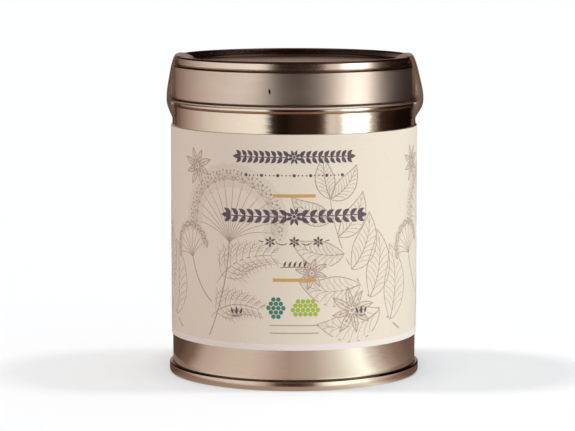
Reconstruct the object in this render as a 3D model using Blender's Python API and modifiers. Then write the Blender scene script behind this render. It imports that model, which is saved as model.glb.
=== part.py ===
"""Round tinplate canister for spices, closed by a slip-on lid.

The frame is in metres with +Z up. The origin is the centre of the foot, at the height
of the surface that the canister stands on. The front of the label faces -Y. Every
profile below is a list of (radius, height) points in millimetres.
"""

import math

import bpy

MM = 0.001

# Steps of a full turn, and of a quarter turn in a small bend
TURN_STEPS = 48
BEND_STEPS = 2

# Tinplate sheet and the play that the pieces leave each other
SHEET = 0.25
PLAY = 0.3

# Wall of the canister, measured on its outer side
BODY_R = 32.4
BAND_R = 32.15
BAND_FOOT_Z = 65.3
BAND_STEP = 0.5
NECK_Z = 71.2
BODY_TOP_Z = 80.9
TOP_CURL_R = 0.6
TOP_CURL_TURN_DEG = 250
FLANGE_R = 32.8
FLANGE_Z = 1.1
FLANGE_BEND_R = 0.25

# Lid, measured on its outer side
PANEL_Z = 82.57
PANEL_BEND_R = 0.5
RIM_INNER_R = 30.42
RIM_OUTER_R = 31.72
RIM_TOP_Z = 84.42
GROOVE_R = 31.3
GROOVE_Z = 81.87
GROOVE_HALF_WIDTH = 0.3
SKIRT_R = 32.3
SHOULDER_Z = 80.9
SHOULDER_BEND_R = 0.6
LID_CURL_Z = 72.5
LID_CURL_R = 0.65
LID_CURL_TURN_DEG = 290
LID_CURL_STEPS = 8

# Seamed end, measured on its outer side
SEAM_R = 33.32
SEAM_TOP_Z = 2.7
SEAM_LIP_R = 0.33
SEAM_FOOT_BEND_R = 0.75
SEAM_HOOK_Z = 1.75
FOOT_INNER_R = 31.6
FOOT_BEND_R = 0.4
CHUCK_TOP_R = 31.5
SINK_Z = 3.6
SINK_BEND_R = 0.45
BASE_PANEL_Z = 3.2
BASE_PANEL_R = 30.2

# Paper label, lapped at the back
LABEL_R = 32.75
LABEL_SHEET = 0.15
LABEL_FOOT_Z = 10.5
LABEL_TOP_Z = 66.0
LABEL_LAP_DEG = 15
LABEL_RISE_DEG = 30
LABEL_LIFT = 0.25

# Clear film seals from the lid down to the wall
SEAL_SHEET = 0.1
SEAL_GAP = 0.12
SEAL_WIDTH_DEG = 30
SEAL_STEPS = 4
SEAL_START_R = 25.5
SEAL_STUCK_LENGTH = 1.6
SEAL_END_Z = 66.4
SEAL_LEFT = {"bulge_r": 33.88, "azimuth_deg": 180}
SEAL_RIGHT = {"bulge_r": 34.45, "azimuth_deg": -2}
# Share of the bulge that the film stands out by, at each height on its way down
SEAL_BULGE = ((0.17, 81.7), (0.5, 79.0), (0.75, 77.0), (0.94, 75.0), (1.0, 73.2), (0.8, 71.5), (0.42, 69.9))
SEAL_SPAN_STEPS = 2

SHARP_DEG = 35


def remove_all_objects():
    for obj in list(bpy.data.objects):
        bpy.data.objects.remove(obj)


def make_collection(name):
    collection = bpy.data.collections.new(name)
    bpy.context.scene.collection.children.link(collection)
    return collection


def make_material(name, colour, roughness, metallic=0.0, alpha=1.0):
    material = bpy.data.materials.new(name)
    material.use_nodes = True
    shader = material.node_tree.nodes["Principled BSDF"]
    shader.inputs["Base Color"].default_value = (*colour, 1.0)
    shader.inputs["Roughness"].default_value = roughness
    shader.inputs["Metallic"].default_value = metallic
    shader.inputs["Alpha"].default_value = alpha
    return material


def arc(centre, radius, start_deg, end_deg, steps):
    """Points along an arc, both ends included; 0 degrees points away from the axis."""
    angles = [math.radians(start_deg + (end_deg - start_deg) * i / steps) for i in range(steps + 1)]
    return [(centre[0] + radius * math.cos(a), centre[1] + radius * math.sin(a)) for a in angles]


def smooth_line(points, steps):
    """A Catmull-Rom curve through the points, with this many steps from one to the next."""
    ends = [points[0]] + list(points) + [points[-1]]
    line = []
    for before, start, end, after in zip(ends, ends[1:], ends[2:], ends[3:]):
        for i in range(steps):
            t = i / steps
            line.append(
                tuple(
                    0.5 * (2 * b + (c - a) * t + (2 * a - 5 * b + 4 * c - d) * t**2 + (3 * b - a - 3 * c + d) * t**3)
                    for a, b, c, d in zip(before, start, end, after)
                )
            )
    return line + [points[-1]]


def add_object(name, mesh, material, collection):
    mesh.materials.append(material)
    obj = bpy.data.objects.new(name, mesh)
    collection.objects.link(obj)
    return obj


def thicken(obj, thickness):
    """Give an open surface its thickness, on the inner side of the faces it has."""
    solidify = obj.modifiers.new("Sheet", "SOLIDIFY")
    solidify.thickness = thickness * MM
    solidify.offset = -1
    solidify.use_even_offset = True


def settle(obj):
    """Keep the modifiers' result as the mesh, smooth except across sharp edges."""
    graph = bpy.context.evaluated_depsgraph_get()
    mesh = bpy.data.meshes.new_from_object(obj.evaluated_get(graph))
    obj.modifiers.clear()
    obj.data = mesh
    mesh.shade_smooth()
    mesh.set_sharp_from_angle(angle=math.radians(SHARP_DEG))


def spun_sheet(name, profile, thickness, material, collection, turn_deg=360, steps=TURN_STEPS):
    """Sheet of even thickness, turned about Z from the line of its outer side."""
    mesh = bpy.data.meshes.new(name)
    points = [(r * MM, 0, z * MM) for r, z in profile]
    mesh.from_pydata(points, [(i, i + 1) for i in range(len(points) - 1)], [])
    obj = add_object(name, mesh, material, collection)
    screw = obj.modifiers.new("Turn", "SCREW")
    screw.angle = math.radians(turn_deg)
    screw.steps = steps
    screw.render_steps = steps
    screw.use_merge_vertices = True
    screw.merge_threshold = 0.00001
    thicken(obj, thickness)
    settle(obj)
    return obj


def add_lid(material, collection):
    """Drawn lid: sunk panel, stacking rim, groove, skirt and a curl turned outwards."""
    panel_bend = (RIM_INNER_R - PANEL_BEND_R, PANEL_Z + PANEL_BEND_R)
    rim_bend_r = (RIM_OUTER_R - RIM_INNER_R) / 2
    rim_bend = (RIM_INNER_R + rim_bend_r, RIM_TOP_Z - rim_bend_r)
    shoulder = (SKIRT_R - SHOULDER_BEND_R, SHOULDER_Z)
    curl_r = LID_CURL_R - SHEET
    curl = (SKIRT_R + curl_r, LID_CURL_Z)
    profile = (
        [(0, PANEL_Z)]
        + arc(panel_bend, PANEL_BEND_R, -90, 0, BEND_STEPS)
        + arc(rim_bend, rim_bend_r, 180, 0, 2 * BEND_STEPS)
        + [(RIM_OUTER_R, GROOVE_Z + GROOVE_HALF_WIDTH), (GROOVE_R, GROOVE_Z)]
        + arc(shoulder, SHOULDER_BEND_R, 80, 0, BEND_STEPS)
        + arc(curl, curl_r, 180, 180 + LID_CURL_TURN_DEG, LID_CURL_STEPS)
    )
    spun_sheet("lid", profile, SHEET, material, collection)


def add_can_body(material, collection):
    """Rolled wall with a curled mouth, a neck inside the lid and a flange in the seam."""
    neck_r = SKIRT_R - SHEET - PLAY
    curl = (neck_r - TOP_CURL_R, BODY_TOP_Z - TOP_CURL_R)
    flange_bend = (BODY_R + FLANGE_BEND_R, FLANGE_Z + FLANGE_BEND_R)
    profile = (
        arc(curl, TOP_CURL_R, TOP_CURL_TURN_DEG, 0, 3 * BEND_STEPS)
        + [(neck_r, NECK_Z + BAND_STEP), (BAND_R, NECK_Z)]
        + [(BAND_R, BAND_FOOT_Z + BAND_STEP), (BODY_R, BAND_FOOT_Z)]
        + arc(flange_bend, FLANGE_BEND_R, 180, 270, BEND_STEPS)
        + [(FLANGE_R, FLANGE_Z)]
    )
    spun_sheet("can_body", profile, SHEET, material, collection)


def add_base_end(material, collection):
    """End plate: lip and hook of the seam, the foot ring and the sunk panel."""
    lip = (SEAM_R - SEAM_LIP_R, SEAM_TOP_Z - SEAM_LIP_R)
    outer_bend = (SEAM_R - SEAM_FOOT_BEND_R, SEAM_FOOT_BEND_R)
    inner_bend = (FOOT_INNER_R + FOOT_BEND_R, FOOT_BEND_R)
    sink = (CHUCK_TOP_R - SINK_BEND_R, SINK_Z)
    profile = (
        [(SEAM_R - 2 * SEAM_LIP_R, SEAM_HOOK_Z)]
        + arc(lip, SEAM_LIP_R, 180, 0, 2 * BEND_STEPS)
        + arc(outer_bend, SEAM_FOOT_BEND_R, 0, -90, BEND_STEPS + 1)
        + arc(inner_bend, FOOT_BEND_R, -90, -180, BEND_STEPS)
        + arc(sink, SINK_BEND_R, 0, 180, 2 * BEND_STEPS)
        + [(BASE_PANEL_R, BASE_PANEL_Z), (0, BASE_PANEL_Z)]
    )
    spun_sheet("base_end", profile, SHEET, material, collection)


def label_radius(turned_deg):
    """Outer radius of the strip, which rises over its own start to make the lap."""
    t = min(max((turned_deg - (360 - LABEL_RISE_DEG)) / LABEL_RISE_DEG, 0), 1)
    return LABEL_R + LABEL_LIFT * t * t * (3 - 2 * t)


def add_label(material, collection):
    """Paper strip once round the wall, its two ends lapped at the back."""
    step_deg = 360 / TURN_STEPS
    start_deg = 90 - LABEL_LAP_DEG / 2
    columns = round((360 + LABEL_LAP_DEG) / step_deg) + 1
    points = []
    for i in range(columns):
        r = label_radius(i * step_deg) * MM
        angle = math.radians(start_deg + i * step_deg)
        for z in (LABEL_FOOT_Z, LABEL_TOP_Z):
            points.append((r * math.cos(angle), r * math.sin(angle), z * MM))
    faces = [(2 * i, 2 * i + 2, 2 * i + 3, 2 * i + 1) for i in range(columns - 1)]
    mesh = bpy.data.meshes.new("label")
    mesh.from_pydata(points, [], faces)
    obj = add_object("label", mesh, material, collection)
    thicken(obj, LABEL_SHEET)
    settle(obj)


def seal_profile(bulge_r):
    """Film stuck to the lid's panel, led over the rim and out past the skirt to the wall."""
    lift = SEAL_GAP + SEAL_SHEET
    rim_middle_r = (RIM_INNER_R + RIM_OUTER_R) / 2
    foot_r = BAND_R + lift
    points = [
        (SEAL_START_R, PANEL_Z + lift),
        (SEAL_START_R + SEAL_STUCK_LENGTH, PANEL_Z + lift),
        ((SEAL_START_R + rim_middle_r) / 2, (PANEL_Z + RIM_TOP_Z) / 2 + lift),
        (rim_middle_r - lift, RIM_TOP_Z + lift),
        (RIM_OUTER_R, RIM_TOP_Z - lift),
    ]
    points += [(SKIRT_R + share * (bulge_r - SKIRT_R), z) for share, z in SEAL_BULGE]
    points += [(foot_r, SEAL_END_Z + SEAL_STUCK_LENGTH), (foot_r, SEAL_END_Z)]
    return smooth_line(points, SEAL_SPAN_STEPS)


def add_seal(name, bulge_r, azimuth_deg, material, collection):
    """Strip of clear film that bridges the lid and the wall on one side."""
    profile = seal_profile(bulge_r)
    seal = spun_sheet(name, profile, SEAL_SHEET, material, collection, SEAL_WIDTH_DEG, SEAL_STEPS)
    seal.rotation_euler.z = math.radians(azimuth_deg - SEAL_WIDTH_DEG / 2)


def main():
    remove_all_objects()
    pieces = make_collection("spice_tin")
    add_can_body(make_material("can_body_tinplate", (0.70, 0.63, 0.56), 0.28, metallic=1.0), pieces)
    add_base_end(make_material("base_end_tinplate", (0.66, 0.59, 0.52), 0.3, metallic=1.0), pieces)
    add_lid(make_material("lid_tinplate", (0.68, 0.61, 0.55), 0.3, metallic=1.0), pieces)
    add_label(make_material("label_paper", (0.80, 0.72, 0.60), 0.6), pieces)
    left_film = make_material("seal_left_film", (0.86, 0.82, 0.76), 0.12, alpha=0.35)
    right_film = make_material("seal_right_film", (0.84, 0.79, 0.72), 0.12, alpha=0.35)
    add_seal("seal_left", SEAL_LEFT["bulge_r"], SEAL_LEFT["azimuth_deg"], left_film, pieces)
    add_seal("seal_right", SEAL_RIGHT["bulge_r"], SEAL_RIGHT["azimuth_deg"], right_film, pieces)


main()
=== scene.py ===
"""Looks of a round tinplate spice tin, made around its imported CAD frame.

The tin has a rolled wall, a seamed end, a slip-on lid, a printed paper label that laps at the
back, and a strip of clear film over the lid's edge on either side. Lengths are in millimetres
until a mesh is made, and the mesh is in metres. The front of the label faces -Y. Azimuths are
in degrees, counterclockwise from +X as seen from above.
"""

import math

import bmesh
import bpy
import numpy as np
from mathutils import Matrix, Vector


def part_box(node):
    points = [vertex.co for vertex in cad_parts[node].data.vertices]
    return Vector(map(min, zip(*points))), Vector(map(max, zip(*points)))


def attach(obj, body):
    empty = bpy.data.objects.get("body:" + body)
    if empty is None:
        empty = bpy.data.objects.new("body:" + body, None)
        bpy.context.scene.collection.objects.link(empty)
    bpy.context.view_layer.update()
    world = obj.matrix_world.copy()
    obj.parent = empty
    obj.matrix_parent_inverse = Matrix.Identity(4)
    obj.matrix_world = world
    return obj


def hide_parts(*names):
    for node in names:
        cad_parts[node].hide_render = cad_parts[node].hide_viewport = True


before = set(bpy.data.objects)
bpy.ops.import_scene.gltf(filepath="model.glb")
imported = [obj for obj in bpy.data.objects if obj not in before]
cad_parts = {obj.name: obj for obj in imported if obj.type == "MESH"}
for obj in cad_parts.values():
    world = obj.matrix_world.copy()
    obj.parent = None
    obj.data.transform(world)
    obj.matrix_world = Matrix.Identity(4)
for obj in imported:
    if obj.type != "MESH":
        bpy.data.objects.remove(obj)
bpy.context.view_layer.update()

bl_info = {
    "name": "Spice tin",
    "version": (1, 0, 0),
    "blender": (4, 5, 0),
    "location": "3D View > Sidebar > Spice tin",
    "description": "Builds a round tinplate spice tin with a paper label and film seals",
    "category": "Object",
}

MM = 0.001
BODY = "root"


def node_reach(node):
    """How far a CAD node reaches to the left, to the front and to the right, and its foot and top."""
    low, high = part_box(node)
    return -low.x / MM, -low.y / MM, high.x / MM, low.z / MM, high.z / MM


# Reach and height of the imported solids, which the fine pieces keep
_, CURL_REACH, _, CURL_FOOT_Z, RIM_TOP_Z = node_reach("lid")
_, SEAM_REACH, _, _, _ = node_reach("base_end")
_, LABEL_REACH, _, LABEL_FOOT_Z, LABEL_TOP_Z = node_reach("label")
_, _, _, FLANGE_Z, MOUTH_Z = node_reach("can_body")
FILM_LEFT_REACH, _, _, FILM_FOOT_Z, FILM_TOP_Z = node_reach("seal_left")
_, _, FILM_RIGHT_REACH, _, _ = node_reach("seal_right")

# Tinplate sheet
SHEET = 0.25
PLAY = 0.3

# Lid, on its outer side, from its middle outwards and down
RIM_HEIGHT = 1.85
RIM_INNER_R = 30.42
RIM_OUTER_R = 31.72
RIM_DRAFT = 0.45
GROOVE_R = 31.15
RIM_BAND_DROP = 2.03
GROOVE_DROP = 2.12
SHOULDER_DROP = 2.5
# Bends from the panel to the shoulder, sharp where the sheet is pressed into the groove
PANEL_BEND_R = 0.45
RIM_BEND_R = 0.6
GROOVE_EDGE_BEND_R = 0.08
GROOVE_BEND_R = 0.06
# The curl is rolled a little flat, and its middle lies above the skirt's foot
LID_CURL_BEND_R = 0.4
CURL_LIFT = 0.38
CURL_FLATNESS = 0.75
CURL_Z = CURL_FOOT_Z + SHEET + LID_CURL_BEND_R + CURL_LIFT
PANEL_Z = RIM_TOP_Z - RIM_HEIGHT
SKIRT_R = CURL_REACH - SHEET - 2 * LID_CURL_BEND_R

# Wall, on its outer side, from its mouth down
NECK_R = SKIRT_R - SHEET - PLAY
MOUTH_CURL_R = 0.6
NECK_FOOT_Z = 71.2
BAND_R = 32.15
BAND_FOOT_Z = 65.3
WALL_R = 32.4
WALL_BEND_R = 0.3
FLANGE_R = 32.8
FLANGE_BEND_R = 0.25
BEAD_STEP = 0.5

# Weld along the wall's back: a low ridge where the sheet's edges overlap
WELD_HEIGHT = 0.1
WELD_HALF_WIDTH = 0.6

# Seamed end, on its outer side, from the hook over the lip and under the foot to the panel
HOOK_R = 32.5
LIP_BEND_R = 0.27
LIP_SLOPE_WIDTH = 0.36
LIP_SLOPE_HEIGHT = 0.32
SEAM_HEIGHT = 2.7
HOOK_Z = 1.75
OUTER_FOOT_BEND_R = 0.75
FOOT_INNER_R = 31.6
INNER_FOOT_BEND_R = 0.4
SINK_R = 31.5
SINK_BEND_R = 0.45
SINK_Z = 3.6
END_PANEL_Z = 3.2
END_PANEL_R = 30.2

# Paper label: a strip that goes once round and laps over its own start at the back
PAPER = 0.15
LAP_DEG = 15
LAP_START_DEG = 90 - LAP_DEG / 2
LAP_RISE_DEG = 30
LAP_LIFT = 0.25
PAPER_WAVE = 0.012
PAPER_COLUMNS = 376
PAPER_ROWS = 29

# Film: a strip stuck to the lid's panel, led over the rim and past the skirt to the wall
FILM = 0.1
FILM_LIFT = 0.22
FILM_CLEARANCE = 0.06
FILM_WIDTH_DEG = 30
FILM_START_R = 25.5
FILM_STUCK_LENGTH = 1.6
FILM_LEFT_DEG = 180
FILM_RIGHT_DEG = -2
# Share of the bulge that the film stands out by, at each height on its way down
FILM_BULGE = (
    (0.17, 81.7), (0.5, 79.0), (0.74, 77.0), (0.93, 75.0), (1.0, 73.0), (0.9, 71.3), (0.55, 69.8),
)
FILM_FOLD = 0.04
# Phase of the folds for each radian round the tin
FILM_FOLD_RATE = 47
# Room that the film's edges keep from the skirt, and the height over which they pass the curl
FILM_REST = 0.2
FILM_CURL_SPAN = 1.3
FILM_LINE_STEPS = 8
FILM_COLUMNS = 61

# Fineness of the meshes
TURN_STEPS = 216
BEND_STEP_DEG = 12
# Distance from a bend to the extra point that keeps the flat stretch beside it flat
FLAT_HOLD = 0.05
SEAM_MERGE = 1e-7
SHARP_DEG = 38

# Camera and its picture, as a lens and sensor in mm and a place in mm
CAMERA_PLACE = (-1.709, -692.5, 125.6)
CAMERA_TILT_DEG = 83.071
CAMERA_LENS = 163.4
CAMERA_SENSOR = 36.0


def linear(hex_colour):
    """The linear red, green and blue of an sRGB colour given as six hex digits."""
    values = np.array([int(hex_colour[i : i + 2], 16) for i in (0, 2, 4)]) / 255
    curved = ((values + 0.055) / 1.055) ** 2.4
    return tuple(np.where(values <= 0.04045, values / 12.92, curved).tolist())


# Lines and sections


def arc(centre, radius, start_deg, end_deg):
    """Points on an arc: its centre plus its radius times the cosine and sine of even angles."""
    steps = max(4, round(abs(end_deg - start_deg) / BEND_STEP_DEG))
    angles = np.radians(np.linspace(start_deg, end_deg, steps + 1))
    return np.asarray(centre) + radius * np.stack([np.cos(angles), np.sin(angles)], axis=1)


def bent_line(corners):
    """A line through corners (radius, height, bend radius), each rounded by an arc.

    The arc touches both sides at the bend radius times the tangent of half the turn, and its
    centre lies on the corner's inner bisector. A point a hair before and after each arc keeps
    the flat stretches flat under smooth shading.
    """
    places = np.array([corner[:2] for corner in corners], float)
    line = [places[:1]]
    for before, here, after, bend in zip(places, places[1:], places[2:], [c[2] for c in corners[1:-1]]):
        to_here = (here - before) / np.linalg.norm(here - before)
        onward = (after - here) / np.linalg.norm(after - here)
        turn = math.atan2(to_here[0] * onward[1] - to_here[1] * onward[0], to_here @ onward)
        left = np.array([-to_here[1], to_here[0]]) * math.copysign(1, turn)
        centre = here - to_here * bend * math.tan(abs(turn) / 2) + left * bend
        start = math.degrees(math.atan2(-left[1], -left[0]))
        bent = arc(centre, bend, start, start + math.degrees(turn))
        line += [bent[:1] - to_here * FLAT_HOLD, bent, bent[-1:] + onward * FLAT_HOLD]
    return np.concatenate(line + [places[-1:]])


def inner_side(line, thickness):
    """The line moved to its right by the thickness, each point along the mean of its two sides.

    At a bend the move is longer by one over the cosine of half the turn, which keeps the sheet
    even.
    """
    runs = np.diff(line, axis=0)
    runs = runs / np.linalg.norm(runs, axis=1, keepdims=True)
    right = np.stack([runs[:, 1], -runs[:, 0]], axis=1)
    both = np.concatenate([right[:1], right[:-1] + right[1:], right[-1:]])
    mean = both / np.linalg.norm(both, axis=1, keepdims=True)
    reach = np.concatenate([right, right[-1:]])
    return line + mean * thickness / np.sum(mean * reach, axis=1, keepdims=True)


def smooth_line(points, steps):
    """A Catmull-Rom curve through the points, with this many steps from one to the next."""
    points = np.asarray(points, float)
    ends = np.concatenate([points[:1], points, points[-1:]])
    a, b, c, d = (ends[i : len(ends) - 3 + i, None] for i in range(4))
    t = (np.arange(steps) / steps)[None, :, None]
    curve = 2 * b + (c - a) * t + (2 * a - 5 * b + 4 * c - d) * t**2 + (3 * b - a - 3 * c + d) * t**3
    return np.concatenate([curve.reshape(-1, 2) / 2, points[-1:]])


def along(line):
    """Distance from the line's start to each of its points."""
    return np.concatenate([[0], np.cumsum(np.linalg.norm(np.diff(line, axis=0), axis=1))])


# Surfaces


def turned(line, azimuths_deg, lift=0.0):
    """Every point (radius, height) of a line swung to every azimuth, its radius longer by the lift."""
    angles = np.radians(azimuths_deg)[:, None]
    radius = line[:, 0] + lift
    height = np.broadcast_to(line[:, 1], (len(angles), len(line)))
    return np.stack([radius * np.cos(angles), radius * np.sin(angles), height], axis=-1)


def there_and_back(outer, inner):
    """Rows that go along the outer side of a sheet, back along the inner one and close on the first."""
    return np.concatenate([outer, inner[..., ::-1, :], outer[..., :1, :]], axis=-2)


def pinched(outer, inner):
    """The skin of a sheet whose first and last columns are closed by a column on its middle surface."""
    middle = (outer + inner) / 2
    ends = there_and_back(middle, middle)
    skin = there_and_back(outer, inner)
    return np.concatenate([ends[..., :1, :, :], skin, ends[..., -1:, :, :]], axis=-3)


def add_piece(name, points, material, replaced=(), uv=None):
    """One object of the tin from grids of points in mm, each face joining four neighbours.

    Points that coincide along seams and at poles are merged, so that the skin is closed. The
    faces point outwards where the columns run counterclockwise and the rows run down.
    """
    columns, rows = points.shape[-3:-1]
    corner = np.arange(columns * rows).reshape(columns, rows)
    face = np.stack([corner[:-1, :-1], corner[:-1, 1:], corner[1:, 1:], corner[1:, :-1]], axis=-1)
    grids = np.arange(points.size // (3 * columns * rows)) * columns * rows
    faces = (grids[:, None, None] + face.reshape(1, -1, 4)).reshape(-1, 4)
    mesh = bpy.data.meshes.new(name)
    mesh.vertices.add(points.size // 3)
    mesh.vertices.foreach_set("co", (points * MM).astype(np.float32).ravel())
    mesh.loops.add(faces.size)
    mesh.loops.foreach_set("vertex_index", faces.ravel().astype(np.int32))
    mesh.polygons.add(len(faces))
    mesh.polygons.foreach_set("loop_start", np.arange(0, faces.size, 4, dtype=np.int32))
    if uv is not None:
        layer = mesh.uv_layers.new(name="grain")
        layer.data.foreach_set("uv", uv.reshape(-1, 2)[faces.ravel()].astype(np.float32).ravel())
    mesh.update(calc_edges=True)
    edit = bmesh.new()
    edit.from_mesh(mesh)
    bmesh.ops.remove_doubles(edit, verts=edit.verts, dist=SEAM_MERGE)
    edit.to_mesh(mesh)
    edit.free()
    mesh.shade_smooth()
    mesh.set_sharp_from_angle(angle=math.radians(SHARP_DEG))
    mesh.materials.append(material)
    piece = bpy.data.objects.new(name, mesh)
    bpy.context.scene.collection.objects.link(piece)
    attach(piece, BODY)
    if replaced:
        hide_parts(*replaced)
    return piece


def sheet_section(line):
    """Once round the sheet's section, from the line of its outer side.

    It closes on itself, or where one edge of the sheet reaches the axis it starts and ends there.
    """
    inner = inner_side(line, SHEET)[::-1]
    if line[-1, 0] == 0:
        return np.concatenate([inner, line])
    if line[0, 0] == 0:
        return np.concatenate([line, inner])
    return np.concatenate([line, inner, line[:1]])


def turned_sheet(name, line, material, azimuths_deg, lift=0.0, flat_grain_r=0.0):
    """A sheet-metal piece turned about Z from the line of its outer side.

    Its grain map is the way round at the line's radius and the way along the line, both in mm.
    Inside flat_grain_r it is the plain place across the sheet, because the grain of a rolled
    sheet runs straight over a flat panel.
    """
    section = sheet_section(line)
    points = turned(section, azimuths_deg, lift)
    way = np.broadcast_to(along(section), points.shape[:2])
    around = np.radians(azimuths_deg)[:, None] * WALL_R * np.ones(len(section))
    grain = np.stack([around, way], axis=-1)
    flat = (section[:, 0] < flat_grain_r)[None, :, None]
    grain = np.where(flat, points[..., :2], grain)
    return add_piece(name, points, material, [name], grain)


def full_turn():
    """Azimuths once round, the last one closing on the first."""
    return np.linspace(0, 360, TURN_STEPS + 1)


# Shader nodes

MIX_FACTOR = 0
MIX_A = 6
MIX_B = 7
MIX_RESULT = 2


def add_node(tree, kind, values=None, links=None, stops=None, **settings):
    """Add one node with its settings, its socket values, its incoming links and any ramp's stops."""
    node = tree.nodes.new(kind)
    for name, value in settings.items():
        setattr(node, name, value)
    for socket, value in (values or {}).items():
        node.inputs[socket].default_value = value
    for socket, source in (links or {}).items():
        tree.links.new(source, node.inputs[socket])
    for i, (position, colour) in enumerate(stops or ()):
        elements = node.color_ramp.elements
        element = elements[i] if i < 2 else elements.new(1.0)
        element.position = position
        element.color = (*colour, 1.0)
    return node


def new_material(name):
    """A material with its node tree and its Principled shader."""
    material = bpy.data.materials.new(name)
    material.use_nodes = True
    return material, material.node_tree, material.node_tree.nodes["Principled BSDF"]


def tinplate(name, colour, roughness, grain_sway, anisotropy):
    """Tinplate: steel sheet with a thin bright coat of tin, marked by the rollers' fine grain.

    The eye sees a warm mirror, blurred a little more across the grain than along it. Grain lines
    on the real sheet are about 0.02 mm apart; they are drawn 0.3 mm apart so that they show.
    """
    material, tree, shader = new_material(name)
    shader.inputs["Metallic"].default_value = 1.0
    shader.inputs["Anisotropic"].default_value = anisotropy
    grain = add_node(tree, "ShaderNodeUVMap", uv_map="grain")
    long_grain = add_node(
        tree, "ShaderNodeMapping", {"Scale": (0.25, 3.0, 1.0)}, {"Vector": grain.outputs["UV"]}
    )
    streaks = add_node(
        tree,
        "ShaderNodeTexNoise",
        {"Scale": 1.0, "Detail": 3.0, "Roughness": 0.6},
        {"Vector": long_grain.outputs["Vector"]},
    )
    cloud_place = add_node(
        tree, "ShaderNodeMapping", {"Scale": (0.06, 0.18, 1.0)}, {"Vector": grain.outputs["UV"]}
    )
    clouds = add_node(
        tree,
        "ShaderNodeTexNoise",
        {"Scale": 1.0, "Detail": 2.0},
        {"Vector": cloud_place.outputs["Vector"]},
    )
    worn = add_node(
        tree,
        "ShaderNodeMath",
        {1: 0.5},
        {0: streaks.outputs["Fac"], 2: clouds.outputs["Fac"]},
        operation="MULTIPLY_ADD",
    )
    matt = add_node(
        tree,
        "ShaderNodeMapRange",
        {"From Min": 0.45, "From Max": 1.05, "To Min": 0.9 * roughness, "To Max": 1.12 * roughness},
        {"Value": worn.outputs["Value"]},
    )
    tree.links.new(matt.outputs["Result"], shader.inputs["Roughness"])
    tint = add_node(
        tree,
        "ShaderNodeMix",
        {MIX_A: (*colour, 1.0), MIX_B: (*[0.9 * c for c in colour], 1.0)},
        {MIX_FACTOR: streaks.outputs["Fac"]},
        data_type="RGBA",
    )
    tree.links.new(tint.outputs[MIX_RESULT], shader.inputs["Base Color"])
    round_z = add_node(tree, "ShaderNodeTangent", direction_type="RADIAL", axis="Z")
    tree.links.new(round_z.outputs["Tangent"], shader.inputs["Tangent"])
    lean = add_node(
        tree,
        "ShaderNodeMapRange",
        {"From Min": 0.25, "From Max": 0.75, "To Min": -grain_sway, "To Max": grain_sway},
        {"Value": streaks.outputs["Fac"]},
    )
    facing = add_node(tree, "ShaderNodeNewGeometry")
    sideways = add_node(
        tree,
        "ShaderNodeVectorMath",
        None,
        {0: round_z.outputs["Tangent"], "Scale": lean.outputs["Result"]},
        operation="SCALE",
    )
    leaning = add_node(
        tree,
        "ShaderNodeVectorMath",
        None,
        {0: facing.outputs["Normal"], 1: sideways.outputs["Vector"]},
        operation="ADD",
    )
    unit = add_node(
        tree, "ShaderNodeVectorMath", None, {0: leaning.outputs["Vector"]}, operation="NORMALIZE"
    )
    tree.links.new(unit.outputs["Vector"], shader.inputs["Normal"])
    return material, tree, shader, tint


def rolled_tinplate(colour):
    """The wall's tinplate, bright as it left the rollers: panels of light keep their edges in it."""
    return tinplate("rolled_tinplate", colour, 0.11, 0.02, 0.35)[0]


def end_tinplate(colour):
    """The end's tinplate, dulled a little where the seam was folded and rolled."""
    return tinplate("seamed_tinplate", colour, 0.10, 0.01, 0.2)[0]


# Height in mm over which the lid turns from satin to rubbed, and how matt it is below and above
RUBBED_FROM_Z = 81.3
RUBBED_TO_Z = 81.8
SKIRT_MATTNESS = 1.35
RIM_MATTNESS = 0.75
# The nick in the skirt, in mm
NICK_PLACE = (-6.27, -31.68, 76.9)
NICK_TILT_DEG = -8
NICK_HALF_SIZE = (0.28, 1.0, 0.8)
BARE_STEEL = "1d120d"


def drawn_tinplate(colour):
    """The lid's tinplate: satin on the skirt, where it has one dark nick, and brighter on the rim."""
    material, tree, shader, tint = tinplate("drawn_tinplate", colour, 0.27, 0.005, 0.2)
    place = add_node(tree, "ShaderNodeTexCoord")
    height = add_node(tree, "ShaderNodeSeparateXYZ", None, {"Vector": place.outputs["Object"]})
    rubbed = add_node(
        tree,
        "ShaderNodeMapRange",
        {
            "From Min": RUBBED_FROM_Z * MM,
            "From Max": RUBBED_TO_Z * MM,
            "To Min": SKIRT_MATTNESS,
            "To Max": RIM_MATTNESS,
        },
        {"Value": height.outputs["Z"]},
    )
    matt = shader.inputs["Roughness"].links[0].from_socket
    by_height = add_node(
        tree, "ShaderNodeMath", None, {0: matt, 1: rubbed.outputs["Result"]}, operation="MULTIPLY"
    )
    tree.links.new(by_height.outputs["Value"], shader.inputs["Roughness"])
    nick = add_node(
        tree,
        "ShaderNodeMapping",
        {
            "Location": [p * MM for p in NICK_PLACE],
            "Rotation": (0, math.radians(NICK_TILT_DEG), 0),
            "Scale": [half * MM for half in NICK_HALF_SIZE],
        },
        {"Vector": place.outputs["Object"]},
        vector_type="TEXTURE",
    )
    reach = add_node(
        tree, "ShaderNodeVectorMath", None, {0: nick.outputs["Vector"]}, operation="LENGTH"
    )
    bite = add_node(
        tree,
        "ShaderNodeMapRange",
        {"From Min": 0.7, "From Max": 1.1, "To Min": 1.0, "To Max": 0.0},
        {"Value": reach.outputs["Value"]},
    )
    nicked = add_node(
        tree,
        "ShaderNodeMix",
        {MIX_B: (*linear(BARE_STEEL), 1.0)},
        {MIX_FACTOR: bite.outputs["Result"], MIX_A: tint.outputs[MIX_RESULT]},
        data_type="RGBA",
    )
    tree.links.new(nicked.outputs[MIX_RESULT], shader.inputs["Base Color"])
    return material


# Height in mm at which the printed ground stops, and the softness of that edge
MARGIN_Z = 12.05
MARGIN_EDGE = 0.1


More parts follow.
